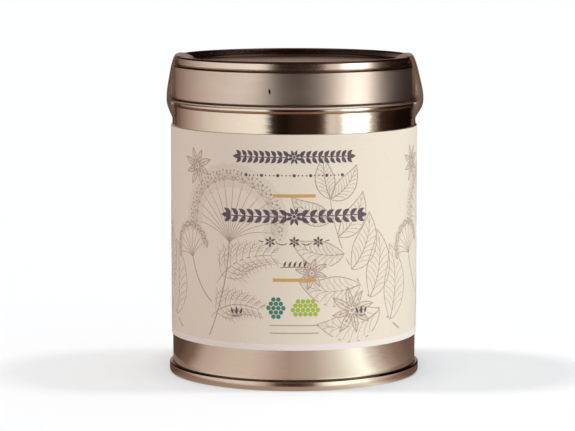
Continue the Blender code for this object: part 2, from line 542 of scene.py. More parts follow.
def uncoated_paper(colour, margin_colour):
    """Uncoated paper, printed with a cream ground that stops short of its lower edge.

    The eye sees a matt, faintly mottled sheet. Paper fibres are about 0.03 mm thick; the mottle
    is drawn at 0.5 mm so that it shows.
    """
    material, tree, shader = new_material("uncoated_paper")
    shader.inputs["Roughness"].default_value = 0.6
    shader.inputs["Specular IOR Level"].default_value = 0.35
    place = add_node(tree, "ShaderNodeTexCoord")
    mottle = add_node(
        tree,
        "ShaderNodeTexNoise",
        {"Scale": 1.0 / (0.5 * MM), "Detail": 4.0, "Roughness": 0.6},
        {"Vector": place.outputs["Object"]},
    )
    height = add_node(tree, "ShaderNodeSeparateXYZ", None, {"Vector": place.outputs["Object"]})
    printed = add_node(
        tree,
        "ShaderNodeMapRange",
        {"From Min": (MARGIN_Z - MARGIN_EDGE) * MM, "From Max": (MARGIN_Z + MARGIN_EDGE) * MM},
        {"Value": height.outputs["Z"]},
    )
    ground = add_node(
        tree,
        "ShaderNodeMix",
        {MIX_A: (*margin_colour, 1.0), MIX_B: (*colour, 1.0)},
        {MIX_FACTOR: printed.outputs["Result"]},
        data_type="RGBA",
    )
    shade = add_node(
        tree,
        "ShaderNodeMapRange",
        {"From Min": 0.3, "From Max": 0.7, "To Min": 0.965, "To Max": 1.02},
        {"Value": mottle.outputs["Fac"]},
    )
    mottled = add_node(
        tree,
        "ShaderNodeVectorMath",
        None,
        {0: ground.outputs[MIX_RESULT], "Scale": shade.outputs["Result"]},
        operation="SCALE",
    )
    tree.links.new(mottled.outputs["Vector"], shader.inputs["Base Color"])
    tooth = add_node(
        tree,
        "ShaderNodeBump",
        {"Strength": 0.4, "Distance": 0.01 * MM},
        {"Height": mottle.outputs["Fac"]},
    )
    tree.links.new(tooth.outputs["Normal"], shader.inputs["Normal"])
    return material


def printing_ink(name, colour, paper_share):
    """Offset ink soaked into uncoated paper: matt, with the paper's mottle showing through.

    The mottle is drawn at 0.4 mm, coarser than the paper's fibres, so that it shows.
    """
    material, tree, shader = new_material(name)
    shader.inputs["Roughness"].default_value = 0.55
    shader.inputs["Specular IOR Level"].default_value = 0.3
    place = add_node(tree, "ShaderNodeTexCoord")
    mottle = add_node(
        tree,
        "ShaderNodeTexNoise",
        {"Scale": 1.0 / (0.4 * MM), "Detail": 3.0},
        {"Vector": place.outputs["Object"]},
    )
    thin = add_node(
        tree,
        "ShaderNodeMapRange",
        {"From Min": 0.4, "From Max": 0.75, "To Min": 0.0, "To Max": paper_share},
        {"Value": mottle.outputs["Fac"]},
    )
    soaked = add_node(
        tree,
        "ShaderNodeMix",
        {MIX_A: (*colour, 1.0), MIX_B: (*tin_colours().paper, 1.0)},
        {MIX_FACTOR: thin.outputs["Result"]},
        data_type="RGBA",
    )
    tree.links.new(soaked.outputs[MIX_RESULT], shader.inputs["Base Color"])
    return material


def polypropylene_film(colour):
    """Clear polypropylene film, cast and glossy: nearly unseen face on, brown where it turns away."""
    material, tree, shader = new_material("polypropylene_film")
    shader.inputs["Roughness"].default_value = 0.1
    shader.inputs["IOR"].default_value = 1.49
    shader.inputs["Base Color"].default_value = (*colour, 1.0)
    # The film's cover and brown rise edge on: partly its own tint through a longer path, partly a
    # painted reflection of the dark room
    edge_on = add_node(tree, "ShaderNodeLayerWeight", {"Blend": 0.5})
    density_and_painted_reflection = add_node(
        tree,
        "ShaderNodeMapRange",
        {"From Min": 0.32, "From Max": 0.78, "To Min": 0.05, "To Max": 0.75},
        {"Value": edge_on.outputs["Facing"]},
    )
    tree.links.new(density_and_painted_reflection.outputs["Result"], shader.inputs["Alpha"])
    return material


# Print on the label: strokes whose points are (way round from the front, height)

STROKE_STEPS = 13
STROKE_PHASE = np.linspace(0, math.pi, STROKE_STEPS + 1)
STROKE_T = (1 - np.cos(STROKE_PHASE)) / 2
ROUND_ENDS = np.sin(STROKE_PHASE)
# How deep the ink's skin reaches into the paper, and how much the last stroke lies over the first
INK_ROOT = 0.03
INK_STEP = 0.004
INK_RISE = 0.012
FRONT_DEG = 270


def on_label(flat, rise):
    """Points in space of places on the flat label: the way round turned into an angle.

    The paper's outer side is a cylinder, which rises smoothly by the lap's lift over the last
    stretch, and sways by a slow sine of the angle and the height.
    """
    azimuth = FRONT_DEG + np.degrees(flat[..., 0] / LABEL_REACH)
    risen = np.clip((azimuth - LAP_START_DEG - (360 - LAP_RISE_DEG)) / LAP_RISE_DEG, 0, 1)
    wave = PAPER_WAVE * np.sin(np.radians(azimuth) * 5 + flat[..., 1] / 9)
    radius = LABEL_REACH - PAPER_WAVE + LAP_LIFT * risen * risen * (3 - 2 * risen) + wave + rise
    angle = np.radians(azimuth)
    return np.stack([radius * np.cos(angle), radius * np.sin(angle), flat[..., 1]], axis=-1)


def bowed(start, end, bow=0.0, t=STROKE_T):
    """Points at shares t of lines from start to end, pushed left by 4 t (1 - t) times the bow."""
    start = np.asarray(start, float)[..., None, :]
    run = np.asarray(end, float)[..., None, :] - start
    left = np.stack([-run[..., 1], run[..., 0]], axis=-1)
    t = np.asarray(t)[..., None]
    sway = 4 * np.asarray(bow, float)[..., None, None] * t * (1 - t)
    return start + run * t + left * sway


def left_of(lines):
    """Unit vectors to the left of each line, at each of its points."""
    run = np.gradient(lines, axis=-2)
    run = run / np.linalg.norm(run, axis=-1, keepdims=True)
    return np.stack([-run[..., 1], run[..., 0]], axis=-1)


def ahead(base, heading_deg, length):
    """The points at a length from the base in a heading, counterclockwise from the right."""
    heading = np.radians(heading_deg)
    way = np.stack([np.cos(heading), np.sin(heading)], axis=-1)
    return np.asarray(base, float) + way * np.asarray(length, float)[..., None]


class Drawing:
    """Strokes of one ink on the flat label, each a centre line and its half widths."""

    def __init__(self):
        self.lines = []
        self.halves = []

    def add(self, lines, halves):
        self.lines.append(lines.reshape(-1, STROKE_STEPS + 1, 2))
        self.halves.append(np.broadcast_to(halves, lines.shape[:-1]).reshape(-1, STROKE_STEPS + 1))

    def bars(self, start, end, half, bow=0.0):
        """Lines of even width with square ends."""
        self.add(bowed(start, end, bow), half)

    def hairs(self, start, end, half, bow=0.0):
        """Lines that are fullest in their middle, as from a pen."""
        self.add(bowed(start, end, bow), half * (0.4 + 0.6 * ROUND_ENDS))

    def blades(self, start, end, share, bow=0.0):
        """Filled leaf shapes, whose half width is a share of their length."""
        lines = bowed(start, end, bow)
        length = np.linalg.norm(np.asarray(end, float) - np.asarray(start, float), axis=-1)
        self.add(lines, (length * share)[..., None] * leaf_width(STROKE_T))

    def dots(self, centre, radius):
        """Filled round dots, drawn as a stroke as wide as it is long."""
        centre = np.asarray(centre, float)
        reach = np.array([radius, 0.0])
        self.add(bowed(centre - reach, centre + reach), radius * ROUND_ENDS)

    def piece(self, name, material, rise, turns_deg=(0,)):
        """Make the strokes a thin skin on the paper, repeated at each turn round the tin."""
        lines = np.concatenate(self.lines)
        halves = np.concatenate(self.halves)[..., None]
        side = left_of(lines) * halves
        flat = np.stack([lines + side, lines - side], axis=-2)
        shift = np.radians(turns_deg)[:, None, None, None] * LABEL_REACH * np.array([1.0, 0.0])
        flat = (flat[None] + shift[:, None]).reshape(-1, *flat.shape[1:])
        step = np.linspace(0, INK_STEP, len(flat))[:, None, None]
        points = pinched(on_label(flat, rise + step), on_label(flat, -INK_ROOT))
        return add_piece(name, points, material)


def leaf_width(t):
    """Half width of a leaf along its length: none at base and tip, fullest at two fifths."""
    return np.sin(math.pi * np.asarray(t) ** 0.8)


def draw_leaves(art, wash, base, tip, bow, share, veins):
    """Outlined leaves: a filled wash, two edges, a midrib, and side veins that reach to the edges."""
    base, tip = np.asarray(base, float), np.asarray(tip, float)
    bow = np.broadcast_to(bow, base.shape[:-1])
    midrib = bowed(base, tip, bow)
    length = np.linalg.norm(tip - base, axis=-1)
    half = (length * share)[:, None] * leaf_width(STROKE_T)
    left = left_of(midrib)
    wash.add(midrib, half * 0.97)
    art.add(midrib, 0.14 * (1.2 - STROKE_T))
    starts = np.linspace(0.1, 0.74, veins)
    ends = starts + 0.17
    root = bowed(base, tip, bow, starts)
    reach = bowed(base, tip, bow, ends)
    out = left_of(reach) * ((length * share)[:, None] * leaf_width(ends))[..., None] * 0.93
    for side in (1, -1):
        art.add(midrib + side * half[..., None] * left, 0.11 * (0.7 + 0.5 * ROUND_ENDS))
        art.hairs(root, reach + side * out, 0.07, -0.1 * side)


def draw_branch(art, wash, foot, top, bow, leaf_count, leaf_length, share, spread_deg=52):
    """A bowed stem with leaves to either side in turn, shorter towards its top, and one at its tip."""
    stem = bowed(foot, top, bow)
    art.add(stem, 0.2 * (1.15 - 0.8 * STROKE_T))
    at = np.linspace(0.1, 0.93, leaf_count)
    root = bowed(foot, top, bow, at)
    run = np.gradient(root, axis=0)
    heading = np.degrees(np.arctan2(run[:, 1], run[:, 0]))
    side = np.where(np.arange(leaf_count) % 2, 1, -1)
    length = leaf_length * (1 - 0.5 * at)
    tips = ahead(root, heading + side * spread_deg, length)
    draw_leaves(art, wash, root, tips, 0.12 * side, share, 8)
    tip = ahead(root[-1:], heading[-1:], length[-1:])
    draw_leaves(art, wash, root[-1:], tip, 0.05, share, 8)


def draw_umbel(art, wash, foot, top, bow, rays, ray_length, spread_deg):
    """A flower head like fennel's: rays fan out from the stem's top, each to a small fan of buds."""
    art.bars([foot], [top], 0.16, bow)
    rise = np.subtract(top, foot)
    heading = math.degrees(math.atan2(rise[1], rise[0])) - 200 * bow
    fan = heading + np.linspace(-spread_deg, spread_deg, rays)
    ends = ahead(top, fan, ray_length * (1 - 0.25 * np.linspace(-1, 1, rays) ** 2))
    art.hairs(np.broadcast_to(top, ends.shape), ends, 0.09, 0.1 * np.linspace(1, -1, rays))
    small = fan[:, None] + np.linspace(-75, 75, 7)
    buds = ahead(ends[:, None], small, 0.17 * ray_length)
    art.hairs(np.broadcast_to(ends[:, None], buds.shape), buds, 0.06, 0.05)
    art.dots(buds, 0.26)
    wash.dots(ends + (ends - top) * 0.08, 0.2 * ray_length)


def draw_frond(art, foot, top, bow, pairs, length):
    """A feathery frond: a thin stem with pairs of threads, each with shorter threads of its own."""
    art.hairs([foot], [top], 0.13, bow)
    at = np.linspace(0.15, 1.0, pairs)
    root = bowed(foot, top, bow, at)
    run = np.gradient(root, axis=0)
    heading = np.degrees(np.arctan2(run[:, 1], run[:, 0]))
    reach = length * (1 - 0.6 * at)
    for side in (1, -1):
        tips = ahead(root, heading + side * 48, reach)
        art.hairs(root, tips, 0.085, 0.1 * side)
        for share in (0.35, 0.6, 0.85):
            fork = root + (tips - root) * share
            for lean in (-30, 30):
                art.hairs(fork, ahead(fork, heading + side * 48 + lean, reach * 0.38), 0.06)


def draw_star(art, wash, centre, radius, arms, turn_deg):
    """A spice star: boat-shaped arms round a small hub, each with a seed in it."""
    heading = turn_deg + np.arange(arms) * 360 / arms
    length = radius * (1 + 0.08 * np.cos(np.arange(arms) * 2.4))
    base = ahead(centre, heading, 0.14 * radius)
    tips = ahead(centre, heading, length)
    draw_leaves(art, wash, base, tips, 0.04, 0.17, 2)
    art.dots(ahead(centre, heading, 0.52 * radius), 0.05 * radius)
    art.dots([centre], 0.08 * radius)


ART_TURNS_DEG = (-120, 0, 120)
# Height of each layer of print as a share of the ink's rise, so that none lies in another
WASH_LAYER = 0.3
HEADS_LAYER = 0.6
FRONDS_LAYER = 0.7
LEAVES_LAYER = 0.8
TOP_LAYER = 1.4


def botanical_art():
    """Faint plants: fennel heads and fronds at the left, a leafy branch at the right, and stars."""
    heads, fronds, leaves, wash = Drawing(), Drawing(), Drawing(), Drawing()
    draw_umbel(heads, wash, (-24.0, 13.2), (-17.5, 38.0), -0.05, 15, 16.0, 72)
    draw_umbel(heads, wash, (-23.3, 22.0), (-30.5, 33.0), 0.08, 9, 8.0, 66)
    draw_frond(fronds, (-21.5, 27.0), (-6.0, 35.0), 0.14, 9, 7.0)
    draw_frond(fronds, (-23.5, 18.0), (-9.5, 21.0), 0.16, 9, 6.0)
    draw_branch(leaves, wash, (32.5, 14.0), (9.0, 53.0), 0.13, 9, 21.0, 0.23, 50)
    draw_star(leaves, wash, (15.5, 20.5), 6.2, 8, 12)
    draw_star(leaves, wash, (4.5, 30.5), 4.2, 8, 30)
    draw_star(leaves, wash, (-28.5, 57.0), 5.0, 8, 20)
    return heads, fronds, leaves, wash


def draw_garland(ink, reach, middle_z, pairs, leaf_length, share, lean_deg):
    """A garland, mirrored about its middle: a stem with a pair of blades at each step."""
    at = np.linspace(0.12, 1.0, pairs) * reach
    for side in (1, -1):
        root = np.stack([side * at, np.full(pairs, middle_z)], axis=1)
        ink.hairs(root[:-1], root[1:], 0.14, 0.06)
        for up in (1, -1):
            heading = 90 * up - side * up * lean_deg
            tips = ahead(root, np.full(pairs, heading, float), np.full(pairs, leaf_length))
            ink.blades(root, tips, share, 0.12 * side * up)
        ink.blades(root[-1:], root[-1:] + [side * leaf_length * 1.1, 0.0], share)


def draw_rosette(ink, centre, radius):
    """Eight blades round a dot."""
    heading = np.arange(8) * 45 + 22.5
    ink.blades(ahead(centre, heading, 0.2 * radius), ahead(centre, heading, radius), 0.22)
    ink.dots([centre], 0.17 * radius)


def ornament():
    """Plum ornament: a garland, a row of beads, a large spray on a star, a small spray and a sprig."""
    ink = Drawing()
    draw_garland(ink, 14.2, 60.3, 9, 2.0, 0.26, 38)
    draw_rosette(ink, (0, 60.3), 2.0)
    beads = np.stack([np.linspace(-12.6, 12.6, 25), np.full(25, 55.6)], axis=1)
    ink.dots(beads, 0.19)
    ink.dots(beads[::4], 0.42)
    draw_rosette(ink, (0, 45.1), 2.5)
    draw_garland(ink, 17.2, 45.1, 8, 2.5, 0.24, 48)
    heading = np.arange(6) * 60 + 30
    for across in (-6.2, 0, 6.2):
        ink.blades(ahead((across, 38.6), heading, 0.3), ahead((across, 38.6), heading, 1.5), 0.24)
        ink.dots([(across, 38.6)], 0.26)
    ink.hairs([(-4.4, 38.3), (1.8, 38.3)], [(-1.8, 38.3), (4.4, 38.3)], 0.12, -0.18)
    ink.hairs([(7.9, 38.6), (-7.9, 38.6)], [(9.2, 38.9), (-9.2, 38.9)], 0.12, 0.1)
    sprig = np.linspace(-2.6, 2.6, 5)
    root = np.stack([sprig, np.full(5, 32.1)], axis=1)
    ink.blades(root, root + [0.7, 1.5], 0.17, 0.1)
    ink.hairs([(-3.6, 32.0)], [(3.6, 32.0)], 0.1, 0.02)
    fine = np.linspace(-6.0, 6.0, 19)
    for height in (17.0, 15.0):
        ink.dots(np.stack([fine, np.full(19, height)], axis=1), 0.17)
    for across in (-15.4, 18.2):
        root = np.array([[across - 1.0, 19.6], [across, 19.4], [across + 1.0, 19.6]])
        ink.blades(root, root + [[-0.6, 1.6], [0, 2.1], [0.6, 1.6]], 0.18)
        ink.hairs([(across - 1.5, 19.2)], [(across + 1.5, 19.2)], 0.1, -0.08)
    return ink


def rules():
    """Two short ochre rules, above and below the spray."""
    ink = Drawing()
    ink.bars([(-5.5, 50.4), (-5.5, 28.75)], [(5.5, 50.4), (5.5, 28.75)], 0.42)
    return ink


BERRY_STEP = 1.28
BERRY_R = 0.58
# Each bunch's middle, and how many berries each of its rows has
TEAL_BUNCH = ((-4.7, 21.5), (2, 3, 4, 3, 2))
GREEN_BUNCH = ((2.9, 21.6), (4, 5, 6, 5))


def berries(middle, rows):
    """A bunch of round berries in rows that nest in each other."""
    ink = Drawing()
    for i, count in enumerate(rows):
        across = middle[0] + (np.arange(count) - (count - 1) / 2) * BERRY_STEP
        height = middle[1] + ((len(rows) - 1) / 2 - i) * BERRY_STEP * math.sqrt(0.75)
        ink.dots(np.stack([across, np.full(count, height)], axis=1), BERRY_R)
    return ink


# Sizes and colours that a user may change


def length_property(name, description, default):
    """A length in metres that the sidebar shows in the scene's units."""
    return bpy.props.FloatProperty(
        name=name, description=description, default=default * MM, unit="LENGTH"
    )


def colour_property(name, description, hex_colour):
    """A colour, kept in linear light and given as an sRGB hex value."""
    return bpy.props.FloatVectorProperty(
        name=name,
        description=description,
        default=linear(hex_colour),
        subtype="COLOR",
        min=0.0,
        max=1.0,
    )


class SpiceTinSizes(bpy.types.PropertyGroup):
    """Sizes of the tin that may change without leaving the room that the frame gives."""

    weld_height: length_property("Weld height", "How far the wall's weld stands out", WELD_HEIGHT)
    paper_wave: length_property("Paper wave", "How far the label sways in and out", PAPER_WAVE)
    film_fold: length_property("Film fold", "Height of the folds in the film", FILM_FOLD)
    ink_rise: length_property("Ink rise", "How far the print stands above the paper", INK_RISE)


class SpiceTinColours(bpy.types.PropertyGroup):
    """Colours of the tin's finishes and of its stage."""

    wall: colour_property("Wall", "Tint of the rolled tinplate", "e9d8c6")
    lid: colour_property("Lid", "Tint of the drawn tinplate", "ead4c6")
    end: colour_property("End", "Tint of the seamed tinplate", "e2d0bd")
    paper: colour_property("Paper", "Cream ground of the label", "e4d3c2")
    margin: colour_property("Margin", "Unprinted paper", "eadbd6")
    art: colour_property("Line art", "Ink of the faint drawings", "aa9183")
    wash: colour_property("Wash", "Thin tone that fills the drawings", "dbc9b8")
    plum: colour_property("Ornament", "Ink of the ornament", "574553")
    ochre: colour_property("Rules", "Ink of the rules", "c9995a")
    teal: colour_property("Teal berries", "Ink of the left bunch", "3a7a66")
    green: colour_property("Green berries", "Ink of the right bunch", "9fb338")
    # Partly the film's own tint, partly a painted reflection of the dark room seen edge on
    film: colour_property("Film", "Brown that the film shows edge on", "775c47")
    floor: colour_property("Floor", "Pale floor", "f5f4f7")


def tin_sizes():
    """The sizes as they stand in the sidebar."""
    return bpy.context.scene.spice_tin_sizes


def tin_colours():
    """The colours as they stand in the sidebar."""
    return bpy.context.scene.spice_tin_colours


class SPICETIN_OT_wall(bpy.types.Operator):
    """Make the rolled wall with its mouth, neck, band, flange and weld"""

    bl_idname = "spicetin.wall"
    bl_label = "Wall"

    def execute(self, context):
        mouth = arc((NECK_R - MOUTH_CURL_R, MOUTH_Z - MOUTH_CURL_R), MOUTH_CURL_R, 250, 0)
        below = bent_line(
            [
                (NECK_R, MOUTH_Z - 2 * MOUTH_CURL_R),
                (NECK_R, NECK_FOOT_Z + BEAD_STEP, WALL_BEND_R),
                (BAND_R, NECK_FOOT_Z, WALL_BEND_R),
                (BAND_R, BAND_FOOT_Z + BEAD_STEP, WALL_BEND_R),
                (WALL_R, BAND_FOOT_Z, WALL_BEND_R),
                (WALL_R, FLANGE_Z + SHEET, FLANGE_BEND_R),
                (FLANGE_R, FLANGE_Z + SHEET),
            ]
        )
        weld_deg = math.degrees(WELD_HALF_WIDTH / WALL_R)
        near_weld = np.linspace(90 - 2 * weld_deg, 90 + 2 * weld_deg, 17)
        azimuths = np.union1d(full_turn(), near_weld)
        weld = tin_sizes().weld_height / MM * np.exp(-(((azimuths - 90) / weld_deg) ** 4))
        line = np.concatenate([mouth, below])
        turned_sheet("can_body", line, rolled_tinplate(tin_colours().wall), azimuths, weld[:, None])
        return {"FINISHED"}


class SPICETIN_OT_end(bpy.types.Operator):
    """Make the seamed end: hook, lip, foot ring and sunk panel"""

    bl_idname = "spicetin.end"
    bl_label = "End"

    def execute(self, context):
        lip = bent_line(
            [
                (HOOK_R, HOOK_Z),
                (HOOK_R, SEAM_HEIGHT, LIP_BEND_R),
                (SEAM_REACH - LIP_SLOPE_WIDTH, SEAM_HEIGHT, LIP_BEND_R),
                (SEAM_REACH, SEAM_HEIGHT - LIP_SLOPE_HEIGHT, LIP_BEND_R),
                (SEAM_REACH, OUTER_FOOT_BEND_R + FLAT_HOLD),
            ]
        )
        outer_bend = (SEAM_REACH - OUTER_FOOT_BEND_R, OUTER_FOOT_BEND_R)
        inner_bend = (FOOT_INNER_R + INNER_FOOT_BEND_R, INNER_FOOT_BEND_R)
        line = np.concatenate(
            [
                lip,
                arc(outer_bend, OUTER_FOOT_BEND_R, 0, -90),
                arc(inner_bend, INNER_FOOT_BEND_R, -90, -180),
                arc((SINK_R - SINK_BEND_R, SINK_Z), SINK_BEND_R, 0, 180),
                [(END_PANEL_R, END_PANEL_Z), (END_PANEL_R / 2, END_PANEL_Z), (0, END_PANEL_Z)],
            ]
        )
        material = end_tinplate(tin_colours().end)
        turned_sheet("base_end", line, material, full_turn(), flat_grain_r=END_PANEL_R + 0.1)
        return {"FINISHED"}


class SPICETIN_OT_lid(bpy.types.Operator):
    """Make the drawn lid: sunk panel, stacking rim, groove, skirt and outward curl"""

    bl_idname = "spicetin.lid"
    bl_label = "Lid"

    def execute(self, context):
        shell = bent_line(
            [
                (0, PANEL_Z),
                (RIM_INNER_R - RIM_DRAFT, PANEL_Z, PANEL_BEND_R),
                (RIM_INNER_R, RIM_TOP_Z, RIM_BEND_R),
                (RIM_OUTER_R, RIM_TOP_Z, RIM_BEND_R),
                (RIM_OUTER_R, RIM_TOP_Z - RIM_BAND_DROP, GROOVE_EDGE_BEND_R),
                (GROOVE_R, RIM_TOP_Z - GROOVE_DROP, GROOVE_BEND_R),
                (SKIRT_R, RIM_TOP_Z - SHOULDER_DROP, RIM_BEND_R),
                (SKIRT_R, CURL_Z + FLAT_HOLD),
            ]
        )
        curl = arc((SKIRT_R + LID_CURL_BEND_R, CURL_Z), LID_CURL_BEND_R, 180, 470)
        curl[:, 1] = CURL_Z + CURL_FLATNESS * (curl[:, 1] - CURL_Z)
        line = np.concatenate([shell, curl])
        material = drawn_tinplate(tin_colours().lid)
        turned_sheet("lid", line, material, full_turn(), flat_grain_r=RIM_INNER_R - 1)
        return {"FINISHED"}


class SPICETIN_OT_label(bpy.types.Operator):
    """Make the paper strip that goes once round the wall and laps at the back"""

    bl_idname = "spicetin.label"
    bl_label = "Label"

    def execute(self, context):
        turn = np.linspace(0, 360 + LAP_DEG, PAPER_COLUMNS) + LAP_START_DEG - FRONT_DEG
        heights = np.linspace(LABEL_TOP_Z, LABEL_FOOT_Z, PAPER_ROWS)
        across = np.radians(turn) * LABEL_REACH
        flat = np.stack(np.meshgrid(across, heights, indexing="ij"), axis=-1)
        points = pinched(on_label(flat, 0.0), on_label(flat, -PAPER))
        material = uncoated_paper(tin_colours().paper, tin_colours().margin)
        add_piece("label_paper", points, material, ["label"])
        return {"FINISHED"}


class SPICETIN_OT_print(bpy.types.Operator):
    """Print the label: faint plants all round, and ornament, rules and berries at the front"""

    bl_idname = "spicetin.print"
    bl_label = "Print"

    def execute(self, context):
        colours = tin_colours()
        rise = tin_sizes().ink_rise / MM
        heads, fronds, leaves, wash = botanical_art()
        line_ink = printing_ink("line_ink", colours.art, 0.4)
        wash_ink = printing_ink("wash_ink", colours.wash, 0.5)
        wash.piece("label_wash", wash_ink, WASH_LAYER * rise, ART_TURNS_DEG)
        heads.piece("label_flower_heads", line_ink, HEADS_LAYER * rise, ART_TURNS_DEG)
        fronds.piece("label_fronds", line_ink, FRONDS_LAYER * rise, ART_TURNS_DEG)
        leaves.piece("label_leaves", line_ink, LEAVES_LAYER * rise, ART_TURNS_DEG)
        on_top = (
            ("label_ornament", ornament(), "plum_ink", colours.plum, 0.12),
            ("label_rules", rules(), "ochre_ink", colours.ochre, 0.1),
            ("label_teal_berries", berries(*TEAL_BUNCH), "teal_ink", colours.teal, 0.1),
            ("label_green_berries", berries(*GREEN_BUNCH), "green_ink", colours.green, 0.1),
        )
        for name, drawing, ink_name, colour, paper_share in on_top:
            drawing.piece(name, printing_ink(ink_name, colour, paper_share), TOP_LAYER * rise)
        return {"FINISHED"}


class SPICETIN_OT_films(bpy.types.Operator):
    """Make the clear film seals that lead from the lid's panel over its rim to the wall"""

    bl_idname = "spicetin.films"
    bl_label = "Film seals"

    def execute(self, context):
        material = polypropylene_film(tin_colours().film)
        add_film("seal_left", FILM_LEFT_REACH, FILM_LEFT_DEG, material)
        add_film("seal_right", FILM_RIGHT_REACH, FILM_RIGHT_DEG, material)
        return {"FINISHED"}


def add_film(name, reach, middle_deg, material):
    """A strip of film turned about Z from a smooth line, with slow folds along its free stretch.

    The line is the middle of the strip. To either side the film draws in towards the lid by the
    square of the share of its half width, until it lies on the skirt and the curl. The folds are
    a sine of the azimuth, full where the film bridges the skirt and none where it is stuck.
    """
    rim_middle_r = (RIM_INNER_R + RIM_OUTER_R) / 2
    foot_r = BAND_R + FILM_LIFT
    points = [
        (FILM_START_R, PANEL_Z + FILM_LIFT),
        (FILM_START_R + FILM_STUCK_LENGTH, PANEL_Z + FILM_LIFT),
        ((FILM_START_R + rim_middle_r) / 2, (PANEL_Z + RIM_TOP_Z) / 2 + FILM_LIFT),
        (rim_middle_r - FILM_LIFT, FILM_TOP_Z - FILM_CLEARANCE),
        (RIM_OUTER_R, RIM_TOP_Z - FILM_LIFT),
    ]
    points += [(SKIRT_R + share * (reach - SKIRT_R), z) for share, z in FILM_BULGE]
    points += [(foot_r, FILM_FOOT_Z + FILM_STUCK_LENGTH), (foot_r, FILM_FOOT_Z)]
    line = smooth_line(points, FILM_LINE_STEPS)
    over_curl = np.exp(-(((line[:, 1] - CURL_Z) / FILM_CURL_SPAN) ** 4))
    rest_r = SKIRT_R + FILM_REST + (CURL_REACH - SKIRT_R) * over_curl
    share = np.linspace(-1, 1, FILM_COLUMNS)[:, None]
    azimuths = middle_deg + share[:, 0] * FILM_WIDTH_DEG / 2
    drawn_in = share**2 * np.maximum(line[:, 0] - rest_r, 0)
    free = np.clip((line[:, 0] - SKIRT_R) / (reach - SKIRT_R), 0, 1) * (1 - share**2)
    wave = np.sin(np.radians(azimuths)[:, None] * FILM_FOLD_RATE)
    fold = tin_sizes().film_fold / MM * (wave - 0.5) * free
    outer_points = turned(line, azimuths, fold - drawn_in)
    inner_points = turned(inner_side(line, FILM), azimuths, fold - drawn_in)
    add_piece(name, pinched(outer_points, inner_points), material, [name])


# Brightness of the studio's panels in the metal, by azimuth from the camera towards the right
STUDIO_LIGHT = (
    (-180, 0.05), (-165, 0.08), (-141, 0.20), (-115, 0.50), (-90, 0.80), (-66, 0.96),
    (-35, 1.10), (-27, 1.06), (-21, 0.02), (-8, 0.01), (1, 0.035), (23, 0.045), (28, 0.15),
    (32, 0.80), (38, 0.85), (41, 0.72), (45, 0.92), (51, 2.45), (71, 2.45), (79, 0.55),
    (88, 0.06), (96, 0.03), (115, 0.011), (150, 0.006), (165, 0.01),
)
# The same of the table top, as the wall's foot mirrors it
TABLE_LIGHT = (
    (-180, 0.10), (-108, 0.11), (-88, 0.22), (-74, 0.57), (-51, 0.71), (-31, 0.73), (-22, 0.66),
    (-13, 0.56), (-4, 0.48), (13, 0.57), (31, 0.88), (41, 1.15), (51, 1.45), (61, 0.86),
    (74, 0.48), (88, 0.30), (108, 0.19),
)
# The same of the table right at the foot, which the seam's lower part mirrors, kept dim there as
# painted shadow of the tin
NEAR_LIGHT = (
    (-180, 0.12), (-85, 0.12), (-61, 0.32), (-32, 0.45), (-10, 0.45), (5, 0.45), (27, 0.75),
    (41, 0.95), (50, 0.60), (58, 0.35), (72, 0.18), (100, 0.12),
)
# The same of the ring of table just outside that, which the seam's upper part mirrors
FOOT_LIGHT = (
    (-180, 0.12), (-85, 0.30), (-73, 0.42), (-58, 0.70), (-45, 0.80), (-36, 0.88), (-24, 0.85),
    (-17, 0.62), (-10, 0.13), (-3, 0.05), (4, 0.07), (10, 0.2), (17, 1.08), (24, 1.6),
    (41, 1.6), (47, 0.95), (53, 0.70), (62, 0.50), (72, 0.28), (100, 0.18),
)
# Brightness that a ramp's full value stands for, and the one from which a light is at its coolest
PEAK_LIGHT = 2.5
FULL_LIGHT = 1.1
DARK_TINT = "ffaa82"
BRIGHT_TINT = "f7fffc"
BRIGHT_GAIN = 1.08
LEFT_COOLNESS = 0.94
# Brightness of the dark room above the panels, and of the soft patch behind the tin
ROOM_LIGHT = 0.008
BACK_LIGHT = 0.38
# The same of the ceiling, by how far to the right it lies as a share of one
OVERHEAD_LIGHT = (
    (-0.9, 0.04), (-0.52, 0.12), (-0.2, 0.05), (0.05, 0.04), (0.2, 0.06), (0.35, 0.15),
    (0.5, 0.25), (0.62, 0.15), (0.75, 0.05),
)


def lit(light, coolness=1):
    """Colour of a lit surface: its brightness, from brown where it is dim to a cool white."""
    share = coolness * math.sqrt(min(light / FULL_LIGHT, 1))
    dark = np.array(linear(DARK_TINT))
    bright = np.array(linear(BRIGHT_TINT)) * BRIGHT_GAIN
    return tuple(((dark + (bright - dark) * share) * light / PEAK_LIGHT).tolist())


def light_stops(lights):
    """Stops of a ramp over a radial gradient, which starts and ends at the left of the tin."""
    stops = sorted(
        ((azimuth / 360 + 0.25) % 1, lit(light, LEFT_COOLNESS if azimuth < 0 else 1))
        for azimuth, light in lights
    )
    return stops + [(1.0, stops[0][1])]


# Suns: name, turn about each axis in degrees, strength
SOFT_SUNS = (
    ("left_light", (0, -30, -4), 0.78),
    ("right_light", (0, 30, 4), 0.52),
    ("top_light", (12, 0, 0), 0.47),
)
FRONT_SUN = ("front_light", (70, 0, 60), 1.36)
FRONT_SUN_COLOUR = "effffa"
SUN_ANGLE_DEG = 9


class SPICETIN_OT_stage(bpy.types.Operator):
    """Make the floor, the studio light and the camera"""

    bl_idname = "spicetin.stage"
    bl_label = "Stage"

    def execute(self, context):
        scene = context.scene
        scene.view_settings.view_transform = "Standard"
        add_floor(tin_colours().floor)
        add_table_sheen()
        add_studio(scene)
        for sun in SOFT_SUNS:
            add_sun(*sun)
        front = add_sun(*FRONT_SUN).data
        front.color = linear(FRONT_SUN_COLOUR)
        front.use_shadow = False
        add_camera(scene)
        return {"FINISHED"}


# Radii in mm of the floor and of the sheen, which lies a little under it
DISC_STEPS = 96
FLOOR_R = 9000
SHEEN_R = 200
SHEEN_Z = -0.2


